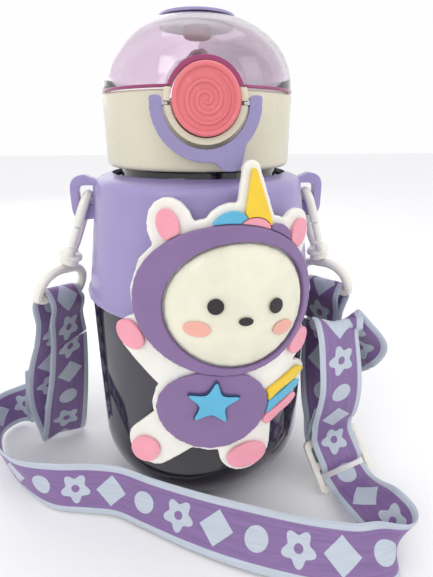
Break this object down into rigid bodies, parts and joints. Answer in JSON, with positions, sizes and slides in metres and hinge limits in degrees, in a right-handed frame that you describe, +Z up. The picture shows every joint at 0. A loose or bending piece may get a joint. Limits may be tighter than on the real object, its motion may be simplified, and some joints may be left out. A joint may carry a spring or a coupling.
{
  "type": "kids water bottle",
  "caption": "Clear kids water bottle with a lilac sleeve, screw lid with flip-up dome and push button, lock bail, soft figure and a webbing strap on snap hooks.",
  "frame": {"origin": "centre of the bottle's flat base, on the surface it stands on", "axes": "+Z up along the bottle, front with the button and figure faces -Y, +X to the right"},
  "size_m": [0.219, 0.152, 0.2235],
  "materials": {
    "cream_plastic": "moulded, soft gloss",
    "ivory_plastic": "moulded, soft gloss",
    "lilac_plastic": "moulded, satin",
    "lilac_deep_plastic": "moulded, soft gloss",
    "coral_plastic": "moulded, satin",
    "smoke_clear": "clear violet-grey tinted copolyester",
    "pink_clear": "clear pink tinted plastic",
    "silicone_pink": "matt silicone",
    "silicone_clear": "translucent silicone",
    "steel": "drawn wire",
    "webbing": "woven polyester webbing with a pale border",
    "pvc_white": "soft moulded PVC",
    "pvc_purple": "soft moulded PVC",
    "pvc_cream": "glossy soft PVC",
    "pvc_pink": "soft moulded PVC",
    "pvc_yellow": "soft moulded PVC",
    "pvc_blue": "soft moulded PVC",
    "pvc_navy": "soft moulded PVC",
    "pvc_dark": "glossy soft PVC",
    "pvc_salmon": "soft moulded PVC"
  },
  "bodies": {
    "root": {"bottle_body": "smoke_clear", "body_sleeve": "lilac_plastic", "charm_base": "pvc_white", "charm_hood": "pvc_purple", "charm_lock_right": "pvc_purple", "charm_body": "pvc_purple", "charm_face": "pvc_cream", "charm_ear_left": "pvc_pink", "charm_ear_right": "pvc_pink", "charm_lock_middle": "pvc_pink", "charm_paw_left": "pvc_pink", "charm_paw_right": "pvc_pink", "charm_foot_left": "pvc_pink", "charm_foot_right": "pvc_pink", "charm_tail_pink": "pvc_pink", "charm_horn": "pvc_yellow", "charm_tail_yellow": "pvc_yellow", "charm_lock_left": "pvc_blue", "charm_star": "pvc_blue", "charm_tail_blue": "pvc_blue", "charm_star_border": "pvc_navy", "charm_eye_left": "pvc_dark", "charm_eye_right": "pvc_dark", "charm_nose": "pvc_dark", "charm_cheek_left": "pvc_salmon", "charm_cheek_right": "pvc_salmon", "strap_main": "webbing", "strap_left_drop": "webbing", "strap_right_drop": "webbing", "strap_right_fold": "webbing", "strap_slider": "ivory_plastic"},
    "lid_riser": {"neck_seal": "silicone_clear"},
    "lid": {"lid_collar": "cream_plastic", "lid_deck": "cream_plastic", "vent_valve": "silicone_pink", "straw": "silicone_clear", "spout_base": "silicone_pink", "bail_pin_left": "steel", "bail_pin_right": "steel", "hinge_pin": "steel", "hinge_spring": "steel", "button_spring": "steel"},
    "dome": {"dome_lid": "pink_clear", "dome_cap": "lilac_plastic", "spout_plug": "silicone_pink"},
    "spout": {"spout_tip": "silicone_pink"},
    "button": {"push_button": "coral_plastic", "button_latch": "ivory_plastic"},
    "bail": {"lock_bail": "lilac_deep_plastic"},
    "left_hook": {"left_hook": "ivory_plastic"},
    "left_gate": {"left_hook_gate": "ivory_plastic"},
    "left_ring": {"left_strap_ring": "ivory_plastic", "strap_left_top": "webbing"},
    "right_hook": {"right_hook": "ivory_plastic"},
    "right_gate": {"right_hook_gate": "ivory_plastic"},
    "right_ring": {"right_strap_ring": "ivory_plastic", "strap_right_top": "webbing"}
  },
  "joints": [
    {"name": "lid_lift", "type": "slide", "parent": "root", "child": "lid_riser", "axis": [0, 0, 1], "range_m": [0, 0.17]},
    {"name": "lid_turn", "type": "hinge", "parent": "lid_riser", "child": "lid", "pos_m": [0, 0, 0], "axis": [0, 0, 1], "range_deg": [0, 450]},
    {"name": "dome_hinge", "type": "hinge", "parent": "lid", "child": "dome", "pos_m": [0, 0.0452, 0.1892], "axis": [-1, 0, 0], "range_deg": [0, 110]},
    {"name": "spout_fold", "type": "hinge", "parent": "lid", "child": "spout", "pos_m": [0, 0.005, 0.192], "axis": [-1, 0, 0], "range_deg": [0, 50], "deforming": ["spout_tip"]},
    {"name": "button_press", "type": "slide", "parent": "lid", "child": "button", "axis": [0, 1, 0], "range_m": [0, 0.0025], "stiffness_N_per_m": 400, "deforming": ["button_spring"]},
    {"name": "bail_turn", "type": "hinge", "parent": "lid", "child": "bail", "pos_m": [0, -0.0444, 0.1864], "axis": [-1, 0, 0], "range_deg": [0, 165]},
    {"name": "left_hook_swing", "type": "hinge", "parent": "root", "child": "left_hook", "pos_m": [-0.0518, 0, 0.1493], "axis": [0, 1, 0], "range_deg": [0, 60], "deforming": ["strap_left_top", "strap_left_drop", "strap_main"]},
    {"name": "left_gate_turn", "type": "hinge", "parent": "left_hook", "child": "left_gate", "pos_m": [-0.0602, -0.0059, 0.128], "axis": [-0.9304, 0, 0.3665], "range_deg": [0, 35], "stiffness_Nm_per_rad": 0.02},
    {"name": "left_ring_swivel", "type": "hinge", "parent": "left_hook", "child": "left_ring", "pos_m": [-0.0525, 0, 0.1474], "axis": [0.3665, 0, 0.9304], "range_deg": [0, 60], "deforming": ["strap_left_top"]},
    {"name": "right_hook_swing", "type": "hinge", "parent": "root", "child": "right_hook", "pos_m": [0.0519, 0, 0.1494], "axis": [0, -1, 0], "range_deg": [0, 60], "deforming": ["strap_right_top", "strap_right_drop", "strap_right_fold"]},
    {"name": "right_gate_turn", "type": "hinge", "parent": "right_hook", "child": "right_gate", "pos_m": [0.0586, -0.0059, 0.1274], "axis": [-0.9563, 0, -0.2924], "range_deg": [0, 35], "stiffness_Nm_per_rad": 0.02},
    {"name": "right_ring_swivel", "type": "hinge", "parent": "right_hook", "child": "right_ring", "pos_m": [0.0525, 0, 0.1474], "axis": [-0.2924, 0, 0.9563], "range_deg": [-60, 5], "deforming": ["strap_right_top"]}
  ],
  "couplings": [
    {"joint": "spout_fold", "follows": "dome_hinge", "ratio": 0.45455}
  ]
}
